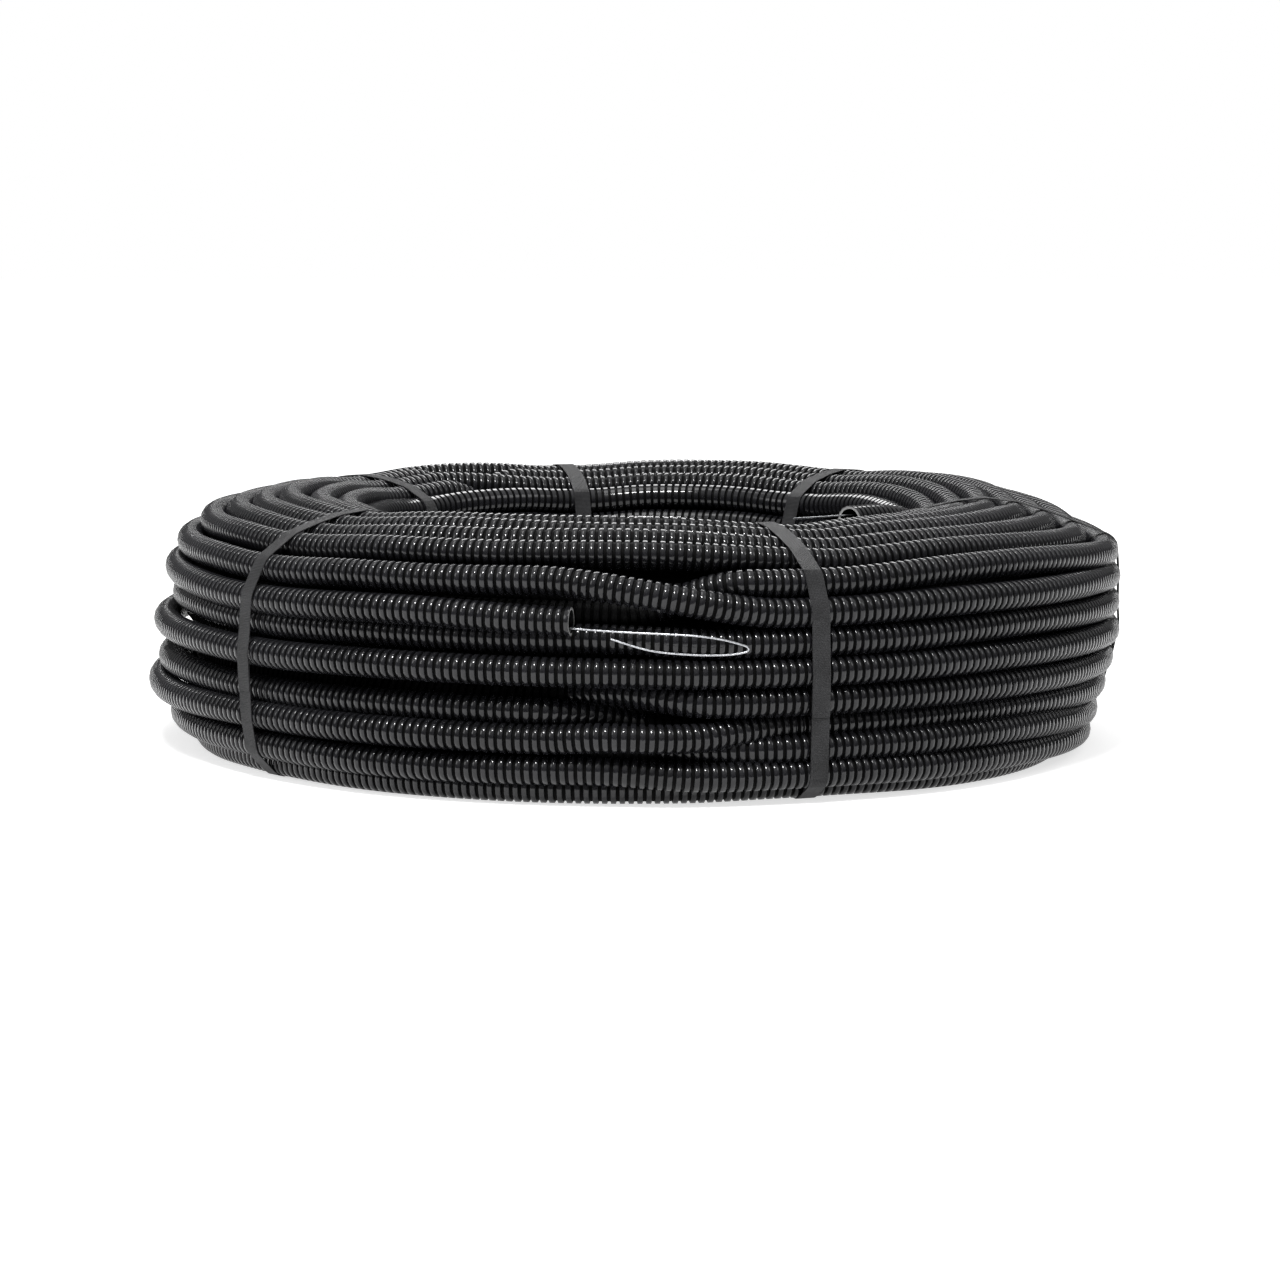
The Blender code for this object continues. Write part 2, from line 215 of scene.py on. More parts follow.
# Rings of one rib, sides of each ring, and the least groove mark, which paints shade. Turns inside
# the bundle have a high mark: painted shade that keeps them as black as the shaded gaps between the
# outer turns.
FULL = (FULL_RIB, 16, 0.0)
PLAIN = (PLAIN_RIB, 14, 0.0)
BURIED = (PLAIN_RIB, 14, 0.85)
HIDDEN = (HIDDEN_RIB, 8, 1.0)
INSIDE = (BURIED, HIDDEN)
# Hidden turns have no ribs, and a ring at every HIDDEN_PITCH
HIDDEN_PITCH = 0.012
# Where in a climb a turn becomes one inside the bundle or leaves it, in half widths of the climb
GOES_IN = 0.4
COMES_OUT = -0.4
# Rings this little beyond the end of a stretch are still kept, so that two stretches meet
JOIN_SLACK = 0.00001
# Most triangles in one piece of hose
PIECE_TRIANGLES = 185000
HOSE_NODES = ("hose_coil", "hose_outer_end", "hose_inner_end")

# Colours and finish: greys that stand for a roughness or a specular level are triples too
HOSE_ROUGHNESS = 0.3
HOSE_DARK = (0.006, 0.006, 0.007)
HOSE_LIGHT = (0.013, 0.013, 0.015)
HOSE_GLOSSY = (0.08, 0.08, 0.08)
HOSE_DULL = (0.22, 0.22, 0.22)
# The groove colour and the groove specular level are painted shade in the grooves and on the turns
# inside the bundle
GROOVE_PAINTED_SHADE = (0.001, 0.001, 0.001)
GROOVE_DULL = (0.70, 0.70, 0.70)
CREST_SHEEN = (0.42, 0.42, 0.42)
GROOVE_SHADE_SHEEN = (0.08, 0.08, 0.08)
CUT_GREY = (0.30, 0.30, 0.30)
STRAP_DARK = (0.014, 0.014, 0.015)
STRAP_LIGHT = (0.030, 0.030, 0.032)
STRAP_ROUGHNESS = 0.5
STRAP_SHEEN = 0.28
WIRE_DARK = (0.34, 0.35, 0.37)
WIRE_LIGHT = (0.62, 0.63, 0.65)
WIRE_ROUGHNESS = 0.3
WIRE_GLOSSY = (0.22, 0.22, 0.22)
WIRE_DULL = (0.42, 0.42, 0.42)
EMBOSS_FREQUENCY = 2900.0

# Noise patterns as (scale, detail), the span of each that runs from dark to light or from glossy
# to dull, and bumps as (strength, distance)
HOSE_PATCHES = (14.0, 4.0)
HOSE_PATCH_SPAN = (0.35, 0.7)
HOSE_SCUFFS = (180.0, 5.0)
HOSE_SCUFF_SPAN = (0.3, 0.75)
HOSE_GRAIN = (420.0, 2.0)
HOSE_BUMP = (0.12, 0.0004)
GROOVE_SPAN = (0.0, 1.0)
STRAP_PATCHES = (60.0, 4.0)
STRAP_PATCH_SPAN = (0.3, 0.75)
STRAP_BUMP = (0.9, 0.0005)
WIRE_SPANGLE = (900.0, 3.0)
WIRE_SPANGLE_SPAN = (0.3, 0.7)

# Studio: the surround's white level by height, from 0 at the horizon to 1 overhead, where steps of
# its ramp are added before they are put in place, and softboxes as (name, place, aim, size, power)
SKY_HEIGHTS = ((0.0, 0.07), (0.25, 0.14), (0.6, 0.55), (1.0, 0.95))
SKY_MIDDLE = 0.5
FLOOR_REACH = 14.0
FLOOR_COLOUR = (0.62, 0.62, 0.62)
FLOOR_ROUGHNESS = 0.9
FLOOR_GLOW = 0.68
LIGHTS = [
    ("softbox_top", (-0.30, -0.10, 2.3), (-0.05, -0.10, 0.1), (1.1, 0.8), 10.0),
    ("softbox_front", (-0.38, -1.35, 2.2), (-0.05, -0.35, 0.1), (0.7, 0.20), 55.0),
    ("softbox_left", (-2.4, -0.9, 1.5), (0.0, 0.0, 0.1), (1.2, 1.0), 11.0),
    ("softbox_right", (2.3, -0.6, 1.9), (0.0, 0.0, 0.1), (1.0, 1.0), 8.0),
    ("softbox_back", (0.0, 2.2, 1.7), (0.0, 0.0, 0.1), (2.0, 0.9), 32.0),
]


# Winding

def smooth_step(value):
    """0 below 0, 1 above 1 and an even S curve between."""
    share = np.clip(value, 0.0, 1.0)
    return share * share * (3.0 - 2.0 * share)


def hump(share):
    """0 where the share is 0 or 1, and 1 in the middle."""
    return 4.0 * share * (1.0 - share)


def wrapped(angle, low):
    """The same angle, within a full turn from low on."""
    return (angle - low) % FULL_TURN + low


def between(top, bottom, turns):
    """Evenly spaced (distance, height) places from top to bottom."""
    return [tuple(np.array(top) + (np.array(bottom) - np.array(top)) * step / (turns - 1))
            for step in range(turns)]


def plan_turns():
    """Every turn in winding order: right and left place, far right and far left shift, fineness."""
    no_shift = (0.0, 0.0)
    turns = [(place, place, no_shift, no_shift, PLAIN) for place in INNER_LAYER]
    for number, (top, bottom, count, shift) in enumerate(MIDDLE_LAYERS):
        fineness = BURIED if number == len(MIDDLE_LAYERS) - 1 else HIDDEN
        layer = [(place, place, no_shift, no_shift, fineness)
                 for place in between(top, bottom, count)]
        layer[0] = (top, top, shift, no_shift, FULL)
        turns += layer[::-1] if number % 2 == 0 else layer
    for right, left, right_shift, left_shift, outermost in OUTER_TURNS:
        turns.append((right, left, right_shift, left_shift, FULL if outermost else BURIED))
    return turns


def plan_climbs():
    """For each change to the next turn: (angle, half width, bulge), with a counted angle."""
    middle = sum(count for _, _, count, _ in MIDDLE_LAYERS)
    kinds = [(INNER_CLIMB, CLIMB_HALF_WIDTH, 0.0)] * len(INNER_LAYER)
    kinds += [(MIDDLE_CLIMB, CLIMB_HALF_WIDTH, 0.0)] * middle
    kinds += OUTER_CLIMBS
    climbs = []
    last = 0.0
    for angle, half_width, bulge in kinds:
        counted = angle
        while counted < last + CLIMB_SPACING:
            counted += FULL_TURN
        climbs.append((counted, half_width, bulge))
        last = counted
    return climbs


TURNS = plan_turns()
CLIMBS = plan_climbs()
END_ANGLE = CLIMBS[-1][0] - OUTER_CLIMBS[-1][0] + FULL_TURN + OUTER_MOUTH_ANGLE


def strap_pull(angle):
    """How hard the straps pull in at these angles: 1 under a strap, 0 well away."""
    away = [np.abs(wrapped(angle - strap, -HALF_TURN)) for strap in STRAPS.values()]
    beyond = np.maximum(np.min(away, axis=0) - FLAT_HALF_ANGLE, 0.0)
    return np.exp(-((beyond / PINCH_SPREAD) ** 2))


def left_share(angle):
    """0 on the right half of the coil, 1 on the left half, and smooth where they meet."""
    (front_low, front_high), (back_low, back_high) = HALVES_MEET
    around = wrapped(angle, HALVES_LOW)
    leave = smooth_step((around - back_low) / (back_high - back_low))
    enter = 1.0 - smooth_step((around - front_low) / (front_high - front_low))
    return np.maximum(leave, enter)


def waves(angle, size, random):
    """Seeded smooth waves along the hose."""
    knots = np.arange(0.0, END_ANGLE + 3 * WAVE_STEP, WAVE_STEP)
    heights = random.normal(0.0, size, len(knots))
    place = angle / WAVE_STEP
    index = np.clip(place.astype(int), 0, len(knots) - 2)
    share = smooth_step(place - index)
    return heights[index] * (1.0 - share) + heights[index + 1] * share


def side_share(angle, side):
    """1 at this side of the coil, and smoothly 0 away from it."""
    away = np.abs(wrapped(angle - side, -HALF_TURN))
    share = np.cos(np.clip(away / SIDE_SPREAD, 0.0, 1.0) * math.pi) * 0.5 + 0.5
    return share[:, None]


def roof_dip(angle, height):
    """How far a turn at this height sinks at these angles."""
    begin, full, fading, end = ROOF_DIP_ANGLES
    low, high = ROOF_DIP_HEIGHTS
    around = wrapped(angle, 0.0)
    share = smooth_step((around - begin) / (full - begin))
    share *= 1.0 - smooth_step((around - fading) / (end - fading))
    return ROOF_DIP * share * smooth_step((height - low) / (high - low))


def planned_places(angle):
    """(distance, height) of the even winding at these counted angles."""
    right, left, right_shift, left_shift = (np.array([turn[part] for turn in TURNS])
                                            for part in range(4))
    reached = np.ones((len(angle), len(TURNS) + 1))
    reached[:, -1] = 0.0
    bulge = np.zeros(len(angle))
    for index, (middle, half_width, size) in enumerate(CLIMBS):
        share = smooth_step((angle - middle + half_width) / (2.0 * half_width))
        reached[:, index + 1] = share
        bulge += size * hump(share)
    present = reached[:, :-1] - reached[:, 1:]
    half = left_share(angle)[:, None]
    place = (present @ right) * (1.0 - half) + (present @ left) * half
    place += (present @ right_shift) * side_share(angle, FAR_RIGHT)
    place += (present @ left_shift) * side_share(angle, FAR_LEFT)
    place[:, 0] += bulge
    return place


def coil_line(angle):
    """Points of the hose's centreline at these counted angles."""
    place = planned_places(angle)
    pull = strap_pull(angle)
    random = np.random.default_rng(SEED)
    loose = smooth_step((angle - END_ANGLE - OUTER_LOOSE_ANGLE + OUTER_MOUTH_ANGLE)
                        / (OUTER_MOUTH_ANGLE - OUTER_LOOSE_ANGLE))
    freedom = (1.0 - pull) * (1.0 - loose)
    distance = place[:, 0] + waves(angle, WAVE_ACROSS, random) * freedom
    height = place[:, 1] - roof_dip(angle, place[:, 1])
    height += waves(angle, WAVE_UP, random) * freedom
    distance -= (distance - SECTION_CENTRE) * PINCH_ACROSS * pull
    height += (PINCH_LIFT - PINCH_DOWN * (height - CREST_RADIUS)) * pull
    height = np.maximum(height, CREST_RADIUS)
    distance += (OUTER_MOUTH_RADIUS - distance) * loose
    height += (OUTER_MOUTH_HEIGHT - height) * loose
    to_mouth = np.radians(END_ANGLE - angle) * OUTER_MOUTH_RADIUS
    distance -= OUTER_FLARE * to_mouth * np.exp(-to_mouth / OUTER_FLARE_REACH)
    turn = np.radians(angle)
    return np.stack([distance * np.sin(turn), -distance * np.cos(turn), height], axis=1)


def curve_through(points, count):
    """Dense points on the smooth (Catmull-Rom) curve through the given ones, count in each span."""
    points = np.array(points)
    padded = np.concatenate([points[:1], points, points[-1:]])
    dense = []
    for index in range(len(points) - 1):
        before, start, end, after = padded[index:index + 4]
        share = (np.arange(count) / count)[:, None]
        dense.append(
            start * (2 * share ** 3 - 3 * share ** 2 + 1)
            + (end - before) * 0.5 * (share ** 3 - 2 * share ** 2 + share)
            + end * (3 * share ** 2 - 2 * share ** 3)
            + (after - start) * 0.5 * (share ** 3 - share ** 2)
        )
    dense.append(points[-1:])
    return np.concatenate(dense)


def hose_line():
    """The hose's whole centreline: its points, and the counted angle at each."""
    steps = round((END_ANGLE - INNER_START) / SHAPE_STEP)
    angle = np.linspace(INNER_START, END_ANGLE, steps + 1)
    coil = coil_line(angle)
    tied = coil_line(INNER_START - TIED_STEP * np.array([2.0, 1.0]))
    beyond = coil[round(TIED_STEP / SHAPE_STEP)]
    free = curve_through([*INNER_FREE_ROUTE, *tied, coil[0], beyond], FREE_DETAIL)
    free = free[:-FREE_DETAIL - 1]
    free_angle = np.linspace(INNER_MOUTH_ANGLE, INNER_START, len(free), endpoint=False)
    return np.concatenate([free, coil]), np.concatenate([free_angle, angle])


def distances_along(points):
    """How far along the route each of its points lies."""
    steps = np.linalg.norm(np.diff(points, axis=0), axis=1)
    return np.concatenate([[0.0], np.cumsum(steps)])


class Line:
    """A centreline that can be read at any distance along it."""

    def __init__(self, points, angles):
        self.along = distances_along(points)
        self.points = points
        self.angles = angles
        self.length = self.along[-1]

    def place(self, distance):
        """Points at these distances."""
        return np.stack([np.interp(distance, self.along, self.points[:, axis])
                         for axis in range(3)], axis=1)

    def direction(self, distance):
        """Unit directions at these distances, from one rib before to one rib after."""
        step = self.place(distance + RIB_PITCH) - self.place(distance - RIB_PITCH)
        return step / np.linalg.norm(step, axis=1)[:, None]

    def at_angle(self, angle):
        """Distance along the line where it reaches this counted angle."""
        return float(np.interp(angle, self.angles, self.along))


def tube(line, distances, radii, sides):
    """Vertices and quads of a tube with these ring distances and radii along the line."""
    centre = line.place(distances)
    along = line.direction(distances)
    outward = centre * np.array([1.0, 1.0, 0.0])
    outward -= along * np.sum(outward * along, axis=1)[:, None]
    outward /= np.linalg.norm(outward, axis=1)[:, None]
    up = np.cross(along, outward)
    turn = np.arange(sides) * 2.0 * math.pi / sides
    ring = (outward[:, None, :] * np.cos(turn)[None, :, None]
            + up[:, None, :] * np.sin(turn)[None, :, None])
    vertices = centre[:, None, :] + ring * radii[:, None, None]
    first = np.arange(len(distances) - 1)[:, None] * sides
    here = np.arange(sides)[None, :]
    there = (here + 1) % sides
    faces = np.stack([first + here, first + there, first + sides + there, first + sides + here],
                     axis=2)
    return vertices.reshape(-1, 3), faces.reshape(-1, 4)


def ribs(low, high, fineness):
    """Ring distances and radii from low to high along the hose."""
    if fineness is HIDDEN:
        distances = np.linspace(low, high, max(2, round((high - low) / HIDDEN_PITCH) + 1))
        return distances, np.full(len(distances), SHOULDER_RADIUS)
    rib = fineness[0]
    first = round(low / RIB_PITCH)
    last = round(high / RIB_PITCH)
    number = np.arange(first - 1, last + 1)[:, None]
    distances = ((number + np.array([share for share, _ in rib])) * RIB_PITCH).ravel()
    radii = np.tile([radius for _, radius in rib], len(number))
    kept = (distances >= low) & (distances <= high + rib[0][0] * RIB_PITCH + JOIN_SLACK)
    return distances[kept], radii[kept]


def stretch_rings(low, high, fineness, open_end):
    """Rings of a stretch, with its open end's cut edge and bore where it has one."""
    distances, radii = ribs(low, high, fineness)
    if open_end == "start":
        inside, inner = ribs(low, low + BORE_DEPTH, (BORE_RIB,))
        distances = np.concatenate([inside[::-1], [low, low], distances])
        radii = np.concatenate([inner[::-1], [BORE_GROOVE_RADIUS, RIM_RADIUS], radii])
    if open_end == "end":
        inside, inner = ribs(high - BORE_DEPTH, high, (BORE_RIB,))
        distances = np.concatenate([distances, [high, high], inside[::-1]])
        radii = np.concatenate([radii, [RIM_RADIUS, BORE_GROOVE_RADIUS], inner[::-1]])
    return distances, radii


def hose_mesh(name, line, stretches):
    """One mesh of several stretches of hose, each (low, high, fineness, which end is open)."""
    vertices = []
    faces = []
    shade_marks = []
    cuts = []
    count = 0
    for low, high, fineness, open_end in stretches:
        distances, radii = stretch_rings(low, high, fineness, open_end)
        sides = fineness[1]
        points, quads = tube(line, distances, radii, sides)
        vertices.append(points)
        faces.append(quads + count)
        # Painted shade: the groove mark grows with the groove's depth, and is at least the
        # fineness's mark, which is high on the turns inside the bundle
        depth = (CREST_RADIUS - radii) / (CREST_RADIUS - GROOVE_RADIUS)
        shade_marks.append(np.repeat(np.maximum(depth, fineness[2]), sides))
        edge = low if open_end == "start" else high
        cuts.append(np.repeat((distances == edge) & (open_end is not None), sides).astype(float))
        count += len(points)
    mesh = bpy.data.meshes.new(name)
    mesh.from_pydata(np.concatenate(vertices).tolist(), [], np.concatenate(faces).tolist())
    mesh.shade_smooth()
    mesh.set_sharp_from_angle(angle=math.radians(HOSE_SHARP_ANGLE))
    for label, values in (("groove", shade_marks), ("cut", cuts)):
        layer = mesh.attributes.new(label, "FLOAT", "POINT")
        layer.data.foreach_set("value", np.concatenate(values))
    return mesh


def plan_stretches(line):
    """Stretches of equal fineness along the hose, as (low, high, fineness, open end)."""
    edges = [0.0]
    kinds = []
    for index, turn in enumerate(TURNS):
        fineness = turn[-1]
        if index < len(CLIMBS):
            middle, half_width, _ = CLIMBS[index]
            shift = half_width * (GOES_IN if TURNS[index + 1][-1] in INSIDE else COMES_OUT)
            end = round(line.at_angle(middle + shift) / RIB_PITCH) * RIB_PITCH
        else:
            end = line.length
        if kinds and kinds[-1] is fineness:
            edges[-1] = end
        else:
            kinds.append(fineness)
            edges.append(end)
    stretches = [[low, high, kind, None] for low, high, kind in zip(edges, edges[1:], kinds)]
    stretches[0][3] = "start"
    stretches[-1][3] = "end"
    return stretches


def triangles_of(low, high, fineness):
    """About how many triangles this stretch of hose has."""
    rib, sides, _ = fineness
    pitch = HIDDEN_PITCH if fineness is HIDDEN else RIB_PITCH
    return (high - low) / pitch * len(rib) * sides * 2


def plan_pieces(stretches):
    """Groups of neighbouring stretches, each group light enough for one mesh."""
    groups = [[]]
    load = 0.0
    for low, high, fineness, open_end in stretches:
        while low < high:
            room = PIECE_TRIANGLES - load
            weight = triangles_of(low, high, fineness)
            if weight <= room:
                groups[-1].append((low, high, fineness, open_end))
                load += weight
                break
            cut = low + (high - low) * room / weight
            cut = math.floor(cut / RIB_PITCH) * RIB_PITCH
            if cut > low + RIB_PITCH:
                groups[-1].append((low, cut, fineness, open_end if open_end == "start" else None))
                low = cut
                open_end = open_end if open_end == "end" else None
            groups.append([])
            load = 0.0
    return groups


def add_object(name, data, body, material, *replaced):
    """Adds a piece that rides on a body and stands for these CAD nodes."""
    item = bpy.data.objects.new(name, data)
    bpy.context.scene.collection.objects.link(item)
    data.materials.append(material)
    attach(item, body)
    if replaced:
        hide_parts(*replaced)
    return item


def add_hose(material):
    """The whole hose, cut into pieces end to end."""
    line = Line(*hose_line())
    groups = plan_pieces(plan_stretches(line))
    for number, group in enumerate(groups, 1):
        name = f"hose_{number:02d}"
        mesh = hose_mesh(name, line, group)
        replaced = HOSE_NODES if number == 1 else ()
        piece = add_object(name, mesh, "coil", material, *replaced)


# Straps

def turns_right(before, corner, after):
    """Whether the way through these three points goes straight on or turns right."""
    into = (corner[0] - before[0], corner[1] - before[1])
    out = (after[0] - corner[0], after[1] - corner[1])
    return into[0] * out[1] - into[1] * out[0] <= 0.0


def hull(points):
    """Corners of the smallest convex outline around the points, anticlockwise."""
    ordered = sorted(points)
    corners = []
    for sequence in (ordered, ordered[::-1]):
        side = []
        for point in sequence:
            while len(side) > 1 and turns_right(side[-2], side[-1], point):
                side.pop()
            side.append(point)
        corners += side[:-1]
    return np.array(corners)


def tied_places(strap):
    """(distance, height) of every turn that this strap ties."""
    first = strap if strap > FIRST_TIED_ANGLE else strap + FULL_TURN
    angles = np.arange(first, END_ANGLE, FULL_TURN)
    centres = coil_line(angles)
    return np.stack([np.hypot(centres[:, 0], centres[:, 1]), centres[:, 2]], axis=1)


def strap_outline(strap):
    """Evenly spaced (distance, height) points around all that the strap ties, clockwise from the
    weld's top."""
    rims = []
    for distance, height in tied_places(strap):
        for step in range(HULL_SIDES):
            turn = 2.0 * math.pi * step / HULL_SIDES
            rims.append((
                distance + math.cos(turn) * (CREST_RADIUS + STRAP_GAP),
                max(height + math.sin(turn) * (CREST_RADIUS + STRAP_GAP), STRAP_THICKNESS),
            ))
    corners = hull(rims)
    loop = np.concatenate([corners, corners[:1]])
    along = distances_along(loop)
    stops = np.linspace(0.0, along[-1], round(along[-1] / STRAP_STEP) + 1)[:-1]
    outline = np.stack([np.interp(stops, along, loop[:, axis]) for axis in range(2)], axis=1)
    outline = outline[::-1]
    outside = outline[:, 0] > SECTION_CENTRE
    start = int(np.argmin(np.where(outside, np.abs(outline[:, 1] - WELD_TOP), 1.0)))
    return np.roll(outline, -start, axis=0)


def strap_path(strap):
    """The strap's centre line as (distance, height) points, from its start under the weld, down,
    around the bundle and back over its own start, with its outward direction at each."""
    outline = strap_outline(strap)
    overlap = round((WELD_TOP - WELD_BOTTOM) / STRAP_STEP) + 1
    path = np.concatenate([outline, outline[:overlap]])
    closed = np.concatenate([path[-overlap - 1:-overlap], path, outline[overlap:overlap + 1]])
    step = closed[2:] - closed[:-2]
    step /= np.linalg.norm(step, axis=1)[:, None]
    outward = np.stack([-step[:, 1], step[:, 0]], axis=1)
    lift = np.zeros(len(path))
    lift[-overlap - 1:] = STRAP_THICKNESS
    lift[-overlap - 2] = STRAP_THICKNESS / 2.0
    return path + outward * (STRAP_THICKNESS / 2.0 + lift)[:, None], outward


def strap_profile():
    """The strap's cross-section with bevelled corners, as (across, outward) points."""
    half = STRAP_WIDTH / 2.0
    thick = STRAP_THICKNESS / 2.0
    bevel = STRAP_THICKNESS / 4.0
    return [
        (-half, -thick + bevel), (-half + bevel, -thick), (half - bevel, -thick),
        (half, -thick + bevel), (half, thick - bevel), (half - bevel, thick),
        (-half + bevel, thick), (-half, thick - bevel),
    ]


def capped_faces(rings, sides):
    """Faces of a closed strip of so many rings with so many corners each."""
    faces = [tuple(range(sides))[::-1]]
    for ring in range(rings - 1):
        first = ring * sides
        for here in range(sides):
            there = (here + 1) % sides
            faces.append((first + there, first + here, first + sides + here, first + sides + there))
    last = (rings - 1) * sides
    faces.append(tuple(range(last, last + sides)))
    return faces


def strap_mesh(name, strap):
    """A strap at this angle, with a map that measures metres along and across it."""
    path, outward = strap_path(strap)
    profile = strap_profile()
    turn = math.radians(strap)
    radial = np.array([math.sin(turn), -math.cos(turn), 0.0])
    tangent = np.array([math.cos(turn), math.sin(turn), 0.0])
    vertices = []
    marks = []
    for place, out, far in zip(path, outward, distances_along(path)):
        for across, rise in profile:
            distance, height = place + out * rise
            vertices.append(radial * distance + tangent * across + np.array([0.0, 0.0, height]))
            marks.append((far, across))
    mesh = bpy.data.meshes.new(name)
    mesh.from_pydata([tuple(vertex) for vertex in vertices], [],
                     capped_faces(len(path), len(profile)))
    mesh.shade_smooth()
    mesh.set_sharp_from_angle(angle=math.radians(STRAP_SHARP_ANGLE))
    corners = np.zeros(len(mesh.loops), dtype=np.int32)
    mesh.loops.foreach_get("vertex_index", corners)
    layer = mesh.uv_layers.new(name="strip")
    layer.data.foreach_set("uv", np.array(marks)[corners].ravel())
    return mesh


def add_straps(material):
    """All straps, one piece each."""
    for name, angle in STRAPS.items():
        strap = add_object(name + "_strip", strap_mesh(name, angle), "coil", material, name)


# Pull wire

def add_wire(name, route, body, material, replaced):
    """A round steel wire along the route."""
    curve = bpy.data.curves.new(name, "CURVE")
    curve.dimensions = "3D"
    curve.bevel_depth = WIRE_DIAMETER / 2.0
    curve.bevel_resolution = WIRE_ROUNDNESS
    curve.use_fill_caps = True
    spline = curve.splines.new("POLY")
    spline.points.add(len(route) - 1)
    for knot, point in zip(spline.points, route):
        knot.co = (*point, 1.0)
    wire = add_object(name, curve, body, material, replaced)


def add_wire_loop(material):
    """The wire's hairpin at the outer mouth."""
    turn = math.radians(OUTER_MOUTH_ANGLE)
    mouth = np.array([OUTER_MOUTH_RADIUS * math.sin(turn), -OUTER_MOUTH_RADIUS * math.cos(turn),
                      OUTER_MOUTH_HEIGHT])
    lean = math.radians(OUTER_AXIS_ANGLE)
    axis = np.array([math.cos(lean), -math.sin(lean), 0.0])
    inward = np.array([math.sin(lean), math.cos(lean), 0.0])
    up = np.array([0.0, 0.0, 1.0])
    route = [mouth + axis * along + inward * across + up * rise
             for along, across, rise in LOOP_ROUTE]
    add_wire("wire_hairpin", curve_through(route, WIRE_DETAIL), "wire_loop", material,
             "pull_wire_loop")


def add_wire_tail(material):
    """The wire's straight end at the inner mouth."""
    mouth = np.array(INNER_FREE_ROUTE[0])
    axis = mouth - np.array(INNER_FREE_ROUTE[1])
    axis /= np.linalg.norm(axis)
    rise = np.array([0.0, 0.0, TAIL_RISE])
    route = [mouth + axis * step + rise
             for step in np.linspace(-TAIL_INSIDE, TAIL_OUTSIDE, TAIL_POINTS)]
    add_wire("wire_tail_end", np.array(route), "wire_tail", material, "pull_wire_tail")


# Materials

def new_material(name, colour, roughness, metallic=0.0):
    """A material, with its node tree and its shader."""
    material = bpy.data.materials.new(name)
    material.use_nodes = True
    tree = material.node_tree
    shader = tree.nodes["Principled BSDF"]
    shader.inputs["Base Color"].default_value = (*colour, 1.0)
    shader.inputs["Roughness"].default_value = roughness
    shader.inputs["Metallic"].default_value = metallic
    return material, tree, shader


def add_noise(tree, pattern):
    """A noise pattern (scale, detail) fixed to the object, in metres."""
    scale, detail = pattern
    place = tree.nodes.new("ShaderNodeTexCoord")
    noise = tree.nodes.new("ShaderNodeTexNoise")
    noise.inputs["Scale"].default_value = scale
    noise.inputs["Detail"].default_value = detail
    tree.links.new(place.outputs["Object"], noise.inputs["Vector"])
    return noise.outputs["Fac"]


def add_ramp(tree, source, span, dark, light):
    """A colour that goes from dark to light as the source goes through the span."""
    low, high = span
    ramp = tree.nodes.new("ShaderNodeValToRGB")
    ramp.color_ramp.elements[0].position = low
    ramp.color_ramp.elements[1].position = high
    ramp.color_ramp.elements[0].color = (*dark, 1.0)
    ramp.color_ramp.elements[1].color = (*light, 1.0)
    tree.links.new(source, ramp.inputs["Fac"])
    return ramp.outputs["Color"]


def add_bump(tree, shader, source, size):
    """Makes the source a bump of this (strength, distance)."""
    strength, distance = size
    bump = tree.nodes.new("ShaderNodeBump")
    bump.inputs["Strength"].default_value = strength
    bump.inputs["Distance"].default_value = distance
    tree.links.new(source, bump.inputs["Height"])
    tree.links.new(bump.outputs["Normal"], shader.inputs["Normal"])


def add_mix(tree, share, first, second):
    """A colour that goes from the first to the second as the share goes from 0 to 1."""
    mix = tree.nodes.new("ShaderNodeMix")
    mix.data_type = "RGBA"
    tree.links.new(share, mix.inputs["Factor"])
    tree.links.new(first, mix.inputs["A"])
    mix.inputs["B"].default_value = (*second, 1.0)
    return mix.outputs["Result"]


def add_mark(tree, label):
    """A value stored on the hose's own surface: how deep in a groove, raised on buried turns to
    paint shade, or whether on a cut edge.
    """
    mark = tree.nodes.new("ShaderNodeAttribute")
    mark.attribute_name = label
    return mark.outputs["Fac"]


def add_math(tree, operation, *values):
    """A calculation on these values, each a number or another node's output."""
    node = tree.nodes.new("ShaderNodeMath")
    node.operation = operation
    for socket, value in zip(node.inputs, values):
        if isinstance(value, float):
            socket.default_value = value
        else:
            tree.links.new(value, socket)
    return node.outputs["Value"]


def hose_material():
    """Glossy black extruded polymer, slightly uneven and dull in its grooves, with painted shade
    there.
    """
    material, tree, shader = new_material("black_polymer", HOSE_DARK, HOSE_ROUGHNESS)
    groove = add_mark(tree, "groove")
    patches = add_noise(tree, HOSE_PATCHES)
    colour = add_ramp(tree, patches, HOSE_PATCH_SPAN, HOSE_DARK, HOSE_LIGHT)
    # Painted shade: near black in the grooves and on the turns inside the bundle
    colour = add_mix(tree, groove, colour, GROOVE_PAINTED_SHADE)
    colour = add_mix(tree, add_mark(tree, "cut"), colour, CUT_GREY)
    tree.links.new(colour, shader.inputs["Base Color"])
    scuffs = add_noise(tree, HOSE_SCUFFS)
    gloss = add_ramp(tree, scuffs, HOSE_SCUFF_SPAN, HOSE_GLOSSY, HOSE_DULL)
    gloss = add_mix(tree, groove, gloss, GROOVE_DULL)
    tree.links.new(gloss, shader.inputs["Roughness"])
    # Painted shade: a lower specular level in the grooves and on the turns inside the bundle
    shade_sheen = add_ramp(tree, groove, GROOVE_SPAN, CREST_SHEEN, GROOVE_SHADE_SHEEN)
    tree.links.new(shade_sheen, shader.inputs["Specular IOR Level"])
    add_bump(tree, shader, add_noise(tree, HOSE_GRAIN), HOSE_BUMP)
    return material


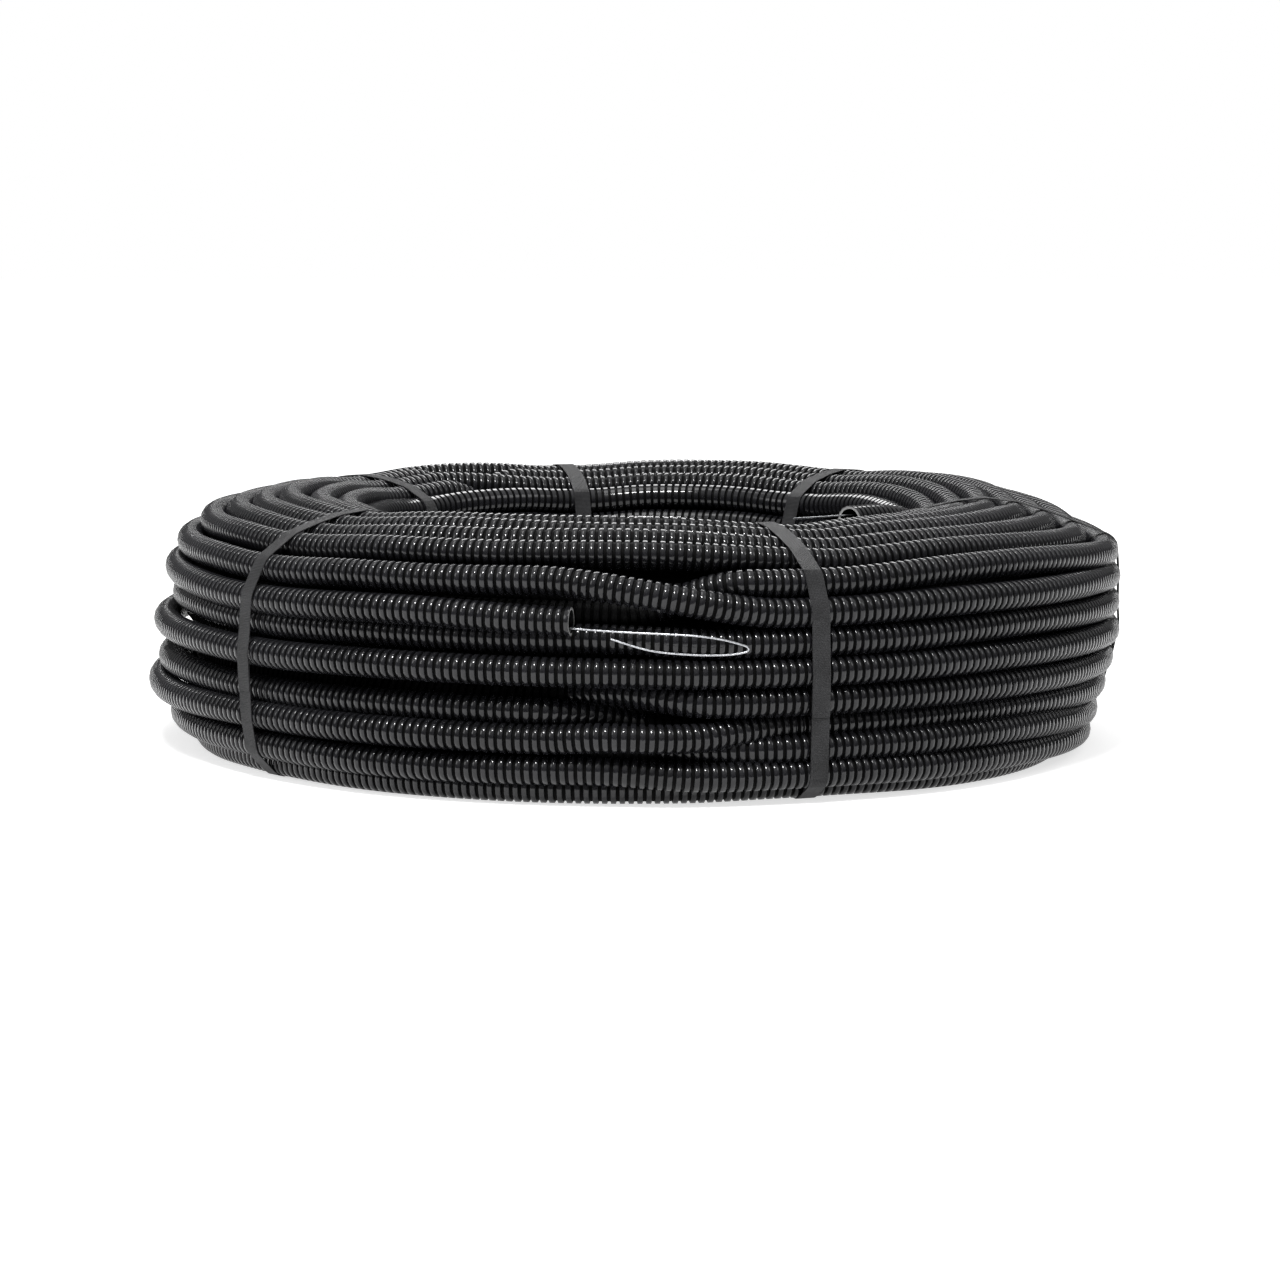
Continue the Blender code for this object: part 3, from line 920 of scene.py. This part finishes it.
def strap_material():
    """Dark grey polypropylene strapping with a pressed diamond pattern."""
    material, tree, shader = new_material("grey_strapping", STRAP_DARK, STRAP_ROUGHNESS)
    shader.inputs["Specular IOR Level"].default_value = STRAP_SHEEN
    uv = tree.nodes.new("ShaderNodeUVMap")
    uv.uv_map = "strip"
    split = tree.nodes.new("ShaderNodeSeparateXYZ")
    tree.links.new(uv.outputs["UV"], split.inputs["Vector"])
    waves = []
    for lean in (1.0, -1.0):
        slanted = add_math(tree, "MULTIPLY_ADD", split.outputs["Y"], lean, split.outputs["X"])
        phase = add_math(tree, "MULTIPLY", slanted, EMBOSS_FREQUENCY)
        waves.append(add_math(tree, "SINE", phase))
    add_bump(tree, shader, add_math(tree, "MULTIPLY", *waves), STRAP_BUMP)
    patches = add_noise(tree, STRAP_PATCHES)
    colour = add_ramp(tree, patches, STRAP_PATCH_SPAN, STRAP_DARK, STRAP_LIGHT)
    tree.links.new(colour, shader.inputs["Base Color"])
    return material


def wire_material():
    """Bright galvanised wire, with a finely drawn surface."""
    material, tree, shader = new_material("galvanised_steel", WIRE_LIGHT, WIRE_ROUGHNESS, 1.0)
    spangle = add_noise(tree, WIRE_SPANGLE)
    colour = add_ramp(tree, spangle, WIRE_SPANGLE_SPAN, WIRE_DARK, WIRE_LIGHT)
    tree.links.new(colour, shader.inputs["Base Color"])
    gloss = add_ramp(tree, spangle, WIRE_SPANGLE_SPAN, WIRE_GLOSSY, WIRE_DULL)
    tree.links.new(gloss, shader.inputs["Roughness"])
    return material


# Studio

def add_camera():
    """The scene's camera, in front of the coil and a little above it."""
    camera = bpy.data.objects.new("camera", bpy.data.cameras.new("camera"))
    bpy.context.scene.collection.objects.link(camera)
    camera.location = CAMERA_PLACE
    camera.rotation_euler = (math.radians(CAMERA_TILT), 0.0, 0.0)
    camera.data.lens = CAMERA_LENS
    bpy.context.scene.camera = camera


def add_light(name, place, aim, size, power):
    """A rectangular softbox at place that faces aim."""
    light = bpy.data.lights.new(name, "AREA")
    light.shape = "RECTANGLE"
    light.size, light.size_y = size
    light.energy = power
    lamp = bpy.data.objects.new(name, light)
    bpy.context.scene.collection.objects.link(lamp)
    lamp.location = place
    facing = Vector(aim) - Vector(place)
    lamp.rotation_euler = facing.to_track_quat("-Z", "Y").to_euler()


def add_sky():
    """A surround that is plain white itself and lights the object more from above."""
    world = bpy.data.worlds.new("studio")
    world.use_nodes = True
    tree = world.node_tree
    backdrop = tree.nodes["Background"]
    place = tree.nodes.new("ShaderNodeTexCoord")
    split = tree.nodes.new("ShaderNodeSeparateXYZ")
    tree.links.new(place.outputs["Generated"], split.inputs["Vector"])
    ramp = tree.nodes.new("ShaderNodeValToRGB")
    elements = ramp.color_ramp.elements
    while len(elements) < len(SKY_HEIGHTS):
        elements.new(SKY_MIDDLE)
    for element, (height, level) in zip(elements, SKY_HEIGHTS):
        element.position = height
        element.color = (level, level, level, 1.0)
    tree.links.new(split.outputs["Z"], ramp.inputs["Fac"])
    path = tree.nodes.new("ShaderNodeLightPath")
    pick = tree.nodes.new("ShaderNodeMix")
    pick.data_type = "RGBA"
    tree.links.new(path.outputs["Is Camera Ray"], pick.inputs["Factor"])
    tree.links.new(ramp.outputs["Color"], pick.inputs["A"])
    pick.inputs["B"].default_value = (*WHITE, 1.0)
    tree.links.new(pick.outputs["Result"], backdrop.inputs["Color"])
    bpy.context.scene.world = world


def add_studio():
    """Surround, floor and lights."""
    bpy.context.scene.view_settings.view_transform = "Standard"
    add_sky()
    mesh = bpy.data.meshes.new("floor")
    reach = FLOOR_REACH
    mesh.from_pydata([(-reach, -reach, 0.0), (reach, -reach, 0.0), (reach, reach, 0.0),
                      (-reach, reach, 0.0)], [], [(0, 1, 2, 3)])
    floor = bpy.data.objects.new("floor", mesh)
    bpy.context.scene.collection.objects.link(floor)
    material, _, shader = new_material("studio_floor", FLOOR_COLOUR, FLOOR_ROUGHNESS)
    shader.inputs["Emission Color"].default_value = (*WHITE, 1.0)
    shader.inputs["Emission Strength"].default_value = FLOOR_GLOW
    mesh.materials.append(material)
    for light in LIGHTS:
        add_light(*light)


def main():
    add_camera()
    add_hose(hose_material())
    wire = wire_material()
    add_wire_loop(wire)
    add_wire_tail(wire)
    add_straps(strap_material())
    add_studio()


main()
